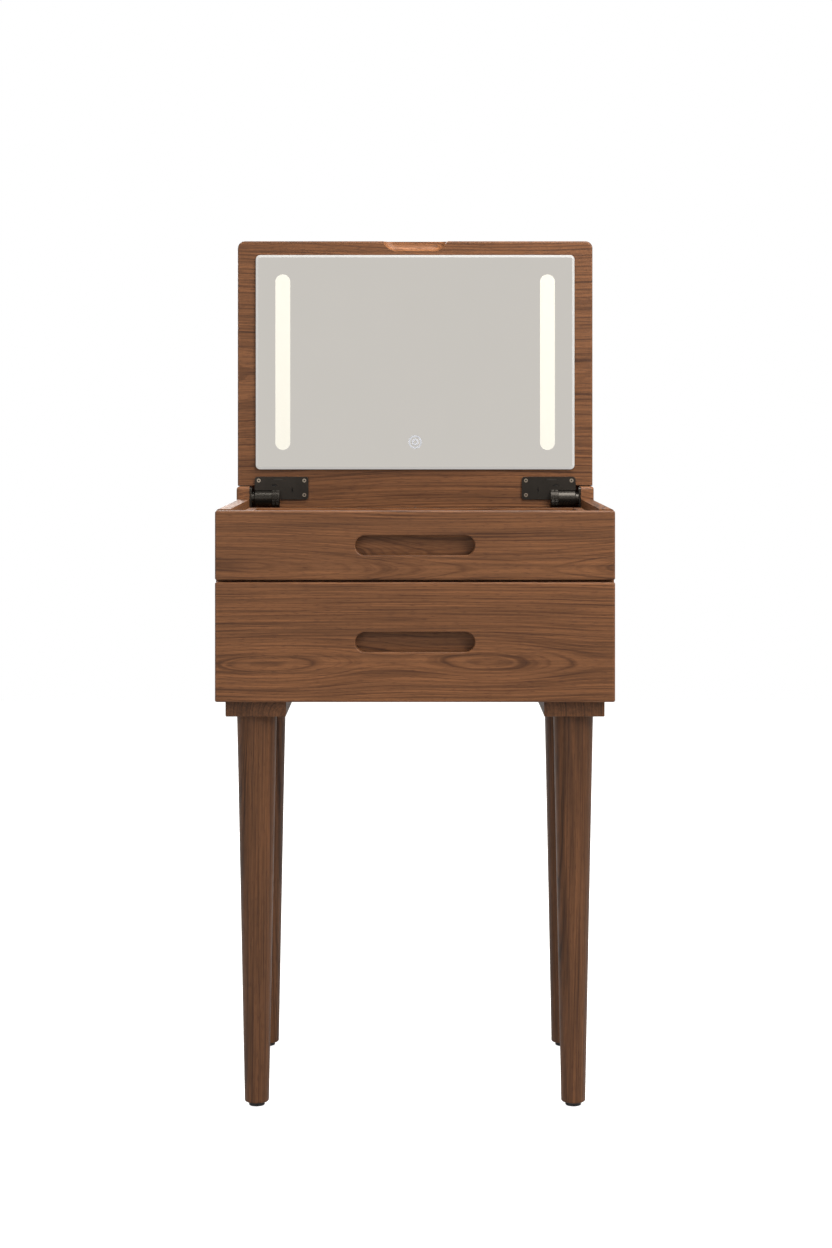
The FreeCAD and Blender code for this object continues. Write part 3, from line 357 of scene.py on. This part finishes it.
def metal(name, colour, rough, metallic=1.0, brushed=None, recess_shade_y=None):
    """Metal with a fine grain, drawn out along one axis where it is brushed or drawn.

    recess_shade_y is the Y of a screw's head: what lies behind it is darkened, a painted shade in
    the recess.
    """
    s = Shader(name)
    at = s.place
    if brushed:
        stretch = [1.0, 1.0, 1.0]
        stretch[AXIS_INDEX[brushed]] = 0.02
        at = s.vector(*(s.math("MULTIPLY", part, k) for part, k in zip(s.split(s.place), stretch)))
    fine = s.noise(at, METAL_GRAIN, 3.0, 0.6)
    least, most = 1 - METAL_UNEVEN, 1 + METAL_UNEVEN
    tint_and_recess_shade = s.product(s.span(s.noise(s.place, 35.0), 0.3, 0.7, least, most),
                     s.span(fine, 0.25, 0.75, least, most))
    if recess_shade_y is not None:
        # Painted shade: darker behind the screw head's face, inside its socket.
        y = s.split(s.place)[1]
        tint_and_recess_shade = s.product(tint_and_recess_shade, s.span(y, recess_shade_y + 0.0003, recess_shade_y + 0.0009, 1.0, 0.06))
    s.set(Base_Color=s.scaled(colour, tint_and_recess_shade), Metallic=metallic,
          Roughness=s.span(fine, 0.25, 0.75, rough - 0.06, rough + 0.08))
    s.bump(fine, 0.00004, 0.5)
    return s.material


def plastic(name, colour, rough):
    """Moulded plastic or rubber with a fine matt texture."""
    s = Shader(name)
    fine = s.noise(s.place, PLASTIC_GRAIN)
    s.set(Base_Color=s.scaled(colour, s.span(s.noise(s.place, 60.0), 0.3, 0.7, 0.86, 1.14)),
          Roughness=s.span(fine, 0.25, 0.75, rough - 0.05, rough + 0.08))
    s.bump(fine, 0.00005, 0.5)
    return s.material


def glowing(name, base, glow, other_glow, strength, grain):
    """A frosted part lit from behind, in a light that wanders between two colours."""
    s = Shader(name)
    frost = s.noise(s.place, grain)
    s.set(Base_Color=base, Roughness=s.span(frost, 0.3, 0.7, 0.42, 0.60),
          Emission_Color=s.mix(s.noise(s.place, 24.0, 1.0), glow, other_glow),
          Emission_Strength=strength)
    s.bump(frost, 0.00003, 0.5)
    return s.material


def silvered_glass():
    """The mirror: a clear reflection with the faintest unevenness."""
    s = Shader("mirror_silver")
    haze = s.noise(s.place, 18.0, 2.0)
    s.set(Base_Color=s.mix(haze, (0.895, 0.900, 0.895), (0.915, 0.915, 0.910)), Metallic=1.0,
          Roughness=s.span(haze, 0.3, 0.7, 0.006, 0.014))
    return s.material


def rim_glass_with_painted_glow():
    """The mirror's ground edge, with a faint painted glow standing in for the highlight on its
    bevel.
    """
    s = Shader("mirror_edge_painted_glow")
    fine = s.noise(s.place, 1600.0, 2.0)
    # Painted highlight: the emission makes the whole rim glow faintly.
    s.set(Base_Color=s.mix(fine, (0.170, 0.167, 0.160), (0.205, 0.201, 0.194)),
          Roughness=s.span(fine, 0.3, 0.7, 0.45, 0.60), Specular_IOR_Level=0.15,
          Emission_Color=(1.0, 0.985, 0.955), Emission_Strength=0.36)
    s.bump(fine, 0.00003, 0.4)
    return s.material


def dress(material, *nodes):
    """Gives CAD nodes their material."""
    for node in nodes:
        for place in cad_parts[node].material_slots:
            place.material = material


def dress_walnut():
    """Each board has its own cut of walnut."""
    boards = {
        # node: axes, across, depth in from the board's low face, lean, wave, seed, tone, wild
        "lower_drawer_front": ("XZY", 0.5640, 0.025, 0.016, (0.003, 0.27, -0.035), 1.7, 1.0, 1.0),
        "upper_drawer_front": ("XZY", 0.6885, 0.022, 0.014, (0.005, 0.55, 0.085), 4.9, 1.0, 1.0),
        "lid_panel": ("XZY", 0.93, 0.160, 0.020, (0.003, 0.60, 0.05), 8.2, 0.96, 0.45),
        "back_panel": ("XZY", 0.63, 0.035, 0.050, (0.006, 0.40, -0.10), 11.3, 0.82, 1.0),
        "left_side_panel": ("YZX", 0.62, 0.040, 0.035, (0.005, 0.35, 0.05), 14.1, 1.18, 0.9),
        "right_side_panel": ("YZX", 0.64, -0.025, 0.040, (0.005, 0.30, -0.05), 17.9, 1.18, 0.9),
        "bottom_panel": ("YXZ", 0.04, 0.050, 0.040, (0.005, 0.30, 0.0), 20.3, 0.95, 1.0),
        "divider_panel": ("YXZ", -0.06, 0.045, 0.050, (0.005, 0.28, 0.1), 23.7, 0.97, 1.0),
        "left_bearer": ("YZX", 0.500, 0.080, 0.030, (0.003, 0.30, 0.0), 26.4, 0.68, 0.6),
        "right_bearer": ("YZX", 0.502, -0.040, 0.030, (0.003, 0.30, 0.1), 29.2, 0.68, 0.6),
        "front_left_leg": ("ZXY", -0.085, 0.085, 0.004, (0.002, 0.60, 0.1), 32.8, 0.71, 0.35),
        "front_right_leg": ("ZXY", 0.315, 0.070, 0.004, (0.002, 0.55, 0.3), 35.5, 0.73, 0.35),
        "rear_left_leg": ("ZXY", -0.320, 0.075, 0.004, (0.002, 0.58, 0.2), 38.1, 0.80, 0.35),
        "rear_right_leg": ("ZXY", 0.090, 0.080, 0.004, (0.002, 0.56, 0.0), 41.6, 0.62, 0.35),
    }
    # Drawer box: axes, across from the board's low side, depth.
    cuts = {"inner_front": ("XZY", 0.02, 0.03), "back": ("XZY", 0.03, 0.04),
            "left_side": ("YZX", 0.03, 0.03), "right_side": ("YZX", 0.02, 0.04),
            "bottom": ("XYZ", 0.08, 0.05)}
    seed = 50.0
    for drawer in ("upper", "lower"):
        for part, (axes, across, depth) in cuts.items():
            node = drawer + "_drawer_" + part
            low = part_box(node)[0][AXIS_INDEX[axes[1]]]
            boards[node] = (axes, low + across, depth, 0.05, (0.004, 0.3, 0.02), seed, 1.08, 1.0)
            seed += 3.7
    lid_low, lid_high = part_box("lid_panel")
    scoop = (SCOOP_HALF_WIDTH, lid_low[1] + SCOOP_FRONT, lid_low[1] + SCOOP_BACK,
             lid_high[2] - SCOOP_DEPTH)
    for node, (axes, across, depth, *rest) in boards.items():
        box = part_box(node)
        face = box[0][AXIS_INDEX[axes[2]]]
        dress(walnut("walnut_" + node, axes, across, face + depth, *rest, box,
                     scoop if node == "lid_panel" else None), node)


def dress_hardware():
    """Dowels, metal, glass, plastic and light."""
    dress(walnut("dowel_wood", "XZY", 0.60, 0.10, seed=90.0, tone=2.4), "carcass_dowels")

    dress(metal("hinge_black", (0.026, 0.022, 0.018), 0.36, metallic=0.75),
          "left_hinge_leaf", "right_hinge_leaf")
    dress(metal("barrel_black", (0.034, 0.030, 0.025), 0.27, metallic=0.80),
          "left_hinge_base", "right_hinge_base")
    dress(metal("hinge_steel", (0.42, 0.41, 0.39), 0.30, brushed="X"),
          "hinge_shafts", "hinge_friction_discs")
    members = ("left_cabinet_rail", "right_cabinet_rail", "middle_rails", "drawer_rails")
    dress(metal("rail_steel", (0.55, 0.55, 0.54), 0.34, brushed="Y"),
          *(drawer + member for drawer in ("upper_", "lower_") for member in members))
    dress(metal("screw_steel", (0.40, 0.36, 0.30), 0.32),
          "bearer_screws", "rail_screws", "hinge_base_screws", "leg_hanger_bolts",
          "upper_drawer_screws", "lower_drawer_screws")
    dress(metal("leaf_screw_steel_recess_shade", (0.36, 0.31, 0.25), 0.34,
                recess_shade_y=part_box("hinge_leaf_screws")[0][1]), "hinge_leaf_screws")
    dress(metal("insert_brass", (0.62, 0.42, 0.16), 0.30), "leg_inserts")
    dress(metal("tray_aluminium", (0.62, 0.62, 0.62), 0.36, brushed="Z"), "mirror_light_box")

    dress(plastic("glide_black", (0.009, 0.009, 0.009), 0.60), "foot_glides")
    dress(plastic("grommet_black", (0.018, 0.018, 0.018), 0.42),
          "cable_grommet", "power_inlet", "touch_module")
    dress(plastic("wire_black", (0.016, 0.016, 0.017), 0.48), "mirror_wiring")

    dress(silvered_glass(), "mirror_glass")
    dress(glowing("window_light", (0.20, 0.19, 0.165), (1.0, 0.975, 0.860), (1.0, 0.985, 0.880),
                  strength=0.635, grain=1800.0), "left_light_window", "right_light_window")
    dress(glowing("touch_light", (0.34, 0.35, 0.37), (0.70, 0.78, 1.0), (0.76, 0.84, 1.0),
                  strength=0.12, grain=260.0), "touch_icon")
    dress(glowing("led_board", (0.80, 0.80, 0.76), (1.0, 0.93, 0.76), (1.0, 0.95, 0.80),
                  strength=0.40, grain=700.0), "left_led_bar", "right_led_bar")


def build_world():
    """A warm soft room in front of the object and a greyer one behind. The camera sees white."""
    world = bpy.data.worlds.new("studio")
    world.use_nodes = True
    tree = world.node_tree
    tree.nodes.clear()
    add = tree.nodes.new
    link = tree.links.new
    way = add("ShaderNodeSeparateXYZ")
    link(add("ShaderNodeTexCoord").outputs["Generated"], way.inputs[0])
    fade = add("ShaderNodeMapRange")
    link(way.outputs[1], fade.inputs[0])
    fade.inputs[1].default_value = ROOM_END
    fade.inputs[2].default_value = BACKDROP_START
    blend = add("ShaderNodeMix")
    blend.data_type = "RGBA"
    link(fade.outputs[0], blend.inputs[0])
    blend.inputs[6].default_value = (*ROOM, 1.0)
    blend.inputs[7].default_value = (*BACKDROP, 1.0)
    lit = add("ShaderNodeBackground")
    link(blend.outputs[2], lit.inputs[0])
    seen = add("ShaderNodeBackground")
    seen.inputs[0].default_value = (*WHITE, 1.0)
    choose = add("ShaderNodeMixShader")
    link(add("ShaderNodeLightPath").outputs["Is Camera Ray"], choose.inputs[0])
    link(lit.outputs[0], choose.inputs[1])
    link(seen.outputs[0], choose.inputs[2])
    link(choose.outputs[0], add("ShaderNodeOutputWorld").inputs[0])
    bpy.context.scene.world = world


def build_floor():
    """A grey floor that glows for the camera alone, so it looks white and keeps its shadows."""
    mesh = bpy.data.meshes.new("floor")
    corners = [(x * FLOOR_HALF, y * FLOOR_HALF, 0) for x, y in ((-1, -1), (1, -1), (1, 1), (-1, 1))]
    mesh.from_pydata(corners, [], [(0, 1, 2, 3)])
    floor = bpy.data.objects.new("floor", mesh)
    bpy.context.scene.collection.objects.link(floor)
    s = Shader("floor_white")
    camera_only = s.add("ShaderNodeLightPath").outputs["Is Camera Ray"]
    s.set(Base_Color=FLOOR_COLOUR, Roughness=0.9, Specular_IOR_Level=0.1, Emission_Color=WHITE,
          Emission_Strength=s.math("MULTIPLY", camera_only, FLOOR_GLOW))
    mesh.materials.append(s.material)


def area_light(name, place, target, size, power, colour):
    """A square soft light aimed at a point, which the camera doesn't see."""
    data = bpy.data.lights.new(name, "AREA")
    data.size = size
    data.energy = power
    data.color = colour
    light = bpy.data.objects.new(name, data)
    light.location = place
    aim = [t - p for t, p in zip(target, place)]
    light.rotation_euler = (math.atan2(math.hypot(aim[0], aim[1]), -aim[2]), 0.0,
                            math.atan2(aim[1], aim[0]) - math.pi / 2)
    light.visible_camera = False
    bpy.context.scene.collection.objects.link(light)


def build_studio():
    """World, floor, lights and camera."""
    build_world()
    build_floor()
    for light in LIGHTS:
        area_light(*light)
    camera_data = bpy.data.cameras.new("camera")
    camera_data.sensor_width = CAMERA_SENSOR_MM
    camera_data.lens = CAMERA_LENS_MM
    camera_data.shift_y = CAMERA_SHIFT_Y
    camera = bpy.data.objects.new("camera", camera_data)
    camera.location = CAMERA_PLACE
    camera.rotation_euler = (math.pi / 2, 0.0, 0.0)
    bpy.context.scene.collection.objects.link(camera)
    bpy.context.scene.camera = camera
    bpy.context.scene.view_settings.view_transform = "Standard"


def new_piece(name, mesh_maker, material, body):
    """A detail piece from a bmesh, riding on a body."""
    mesh = bpy.data.meshes.new(name)
    bm = bmesh.new()
    mesh_maker(bm)
    bmesh.ops.recalc_face_normals(bm, faces=bm.faces)
    bm.to_mesh(mesh)
    bm.free()
    mesh.materials.append(material)
    piece = bpy.data.objects.new(name, mesh)
    bpy.context.scene.collection.objects.link(piece)
    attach(piece, body)


def pane_points(x_half, z0, z1, y, radius, steps=10):
    """The outline of a rectangle with round corners that faces -Y."""
    corners = ((x_half, z0, 1, -1, -90), (x_half, z1, 1, 1, 0),
               (-x_half, z1, -1, 1, 90), (-x_half, z0, -1, -1, 180))
    points = []
    for x, z, sx, sz, start in corners:
        for i in range(steps + 1):
            turn = math.radians(start + 90 * i / steps)
            points.append((x - sx * radius + radius * math.cos(turn), y,
                           z - sz * radius + radius * math.sin(turn)))
    return points


def bridge(bm, rows, closed=False):
    """Quads between rings of points. The last ring joins the first, or else both are capped."""
    rings = [[bm.verts.new(point) for point in row] for row in rows]
    pairs = list(zip(rings, rings[1:]))
    if closed:
        pairs.append((rings[-1], rings[0]))
    for first, second in pairs:
        for i in range(len(first)):
            k = (i + 1) % len(first)
            bm.faces.new((first[i], first[k], second[k], second[i]))
    if not closed:
        bm.faces.new(rings[0])
        bm.faces.new(rings[-1])


def mirror_rim():
    """The ground band on the bevel and edge of the glass."""
    low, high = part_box("mirror_glass")
    x_half, y_face, y_back, z0, z1 = high[0], low[1], high[1], low[2], high[2]
    thick = y_back - y_face - RIM_SKIN

    def make(bm):
        rows = []
        for inset, back in ((0.0, thick), *RIM_BEVEL, (RIM_WALL, thick)):
            out = -inset if inset else RIM_SKIN
            rows.append(pane_points(x_half + out, z0 - out, z1 + out, y_face + back - RIM_SKIN,
                                    RIM_CORNER + out))
        bridge(bm, rows, closed=True)
    new_piece("mirror_rim", make, rim_glass_with_painted_glow(), "lid")


def collar_knurl(side_name, side):
    """The straight knurl round a hinge collar, in two bands with a groove between."""
    axis_y, axis_z = middle_of("hinge_shafts")[1:]

    def ring_at(x, valley, ridge):
        points = []
        for i in range(KNURL_RIDGES):
            for share, radius in zip(KNURL_SHARES, (valley, ridge, ridge, valley)):
                turn = 2 * math.pi * (i + share) / KNURL_RIDGES
                points.append((side * x, axis_y + radius * math.cos(turn),
                               axis_z + radius * math.sin(turn)))
        return points

    def make(bm):
        rows = [ring_at(x, KNURL_LOW, ridge) for x, ridge in KNURL_LENGTH]
        rows += [ring_at(KNURL_LENGTH[end][0], KNURL_CORE, KNURL_CORE) for end in (-1, 0)]
        bridge(bm, rows, closed=True)
    new_piece(side_name + "_collar_knurl", make, bpy.data.materials["barrel_black"], "lid")


def leaf_place(side_name):
    """A hinge leaf's way outward, the X of its inner end, the Z of its top, the Y of its face.

    The heads of its screws lie flush with its face.
    """
    low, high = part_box(side_name + "_hinge_leaf")
    outward = 1 if side_name == "right" else -1
    inner = low[0] if outward == 1 else high[0]
    return outward, inner, high[2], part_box("hinge_leaf_screws")[0][1]


def leaf_tab(side_name):
    """The lip between a hinge leaf's two marks: a thin ridge round a shallow dish."""
    outward, inner, top, face = leaf_place(side_name)
    middle = inner + outward * TAB_ALONG
    level = top - TAB_DOWN

    def make(bm):
        rows = []
        for inset, back in TAB_SECTION:
            half_height = TAB_HALF_HEIGHT - inset
            outline = pane_points(TAB_HALF_LENGTH - inset, level - half_height,
                                  level + half_height, face + back, half_height, steps=4)
            rows.append([(x + middle, y, z) for x, y, z in outline])
        bridge(bm, rows)
    new_piece(side_name + "_leaf_tab", make, bpy.data.materials["hinge_black"], "lid")


def leaf_slot_shade(side_name):
    """A black lining in the two slots of a hinge leaf: painted shade, so they read as dark marks.
    """
    outward, inner, top, face = leaf_place(side_name)

    def make(bm):
        for along, down, width, height in LEAF_SLOTS:
            x = inner + outward * (along + width / 2)
            z = top - down - height / 2
            rows = []
            for inset, back in SLOT_SHADE_SECTION:
                half_x, half_z = width / 2 - inset, height / 2 - inset
                rows.append([(x + sx * half_x, face + back, z + sz * half_z)
                             for sx, sz in ((-1, -1), (1, -1), (1, 1), (-1, 1))])
            bridge(bm, rows)
    # The foot glides' black plastic serves here as the painted shade in the slots.
    new_piece(side_name + "_leaf_slot_shade", make, bpy.data.materials["glide_black"], "lid")


dress_walnut()
dress_hardware()
mirror_rim()
for hinge_name, hinge_side in (("left", -1), ("right", 1)):
    collar_knurl(hinge_name, hinge_side)
    leaf_tab(hinge_name)
    leaf_slot_shade(hinge_name)
build_studio()
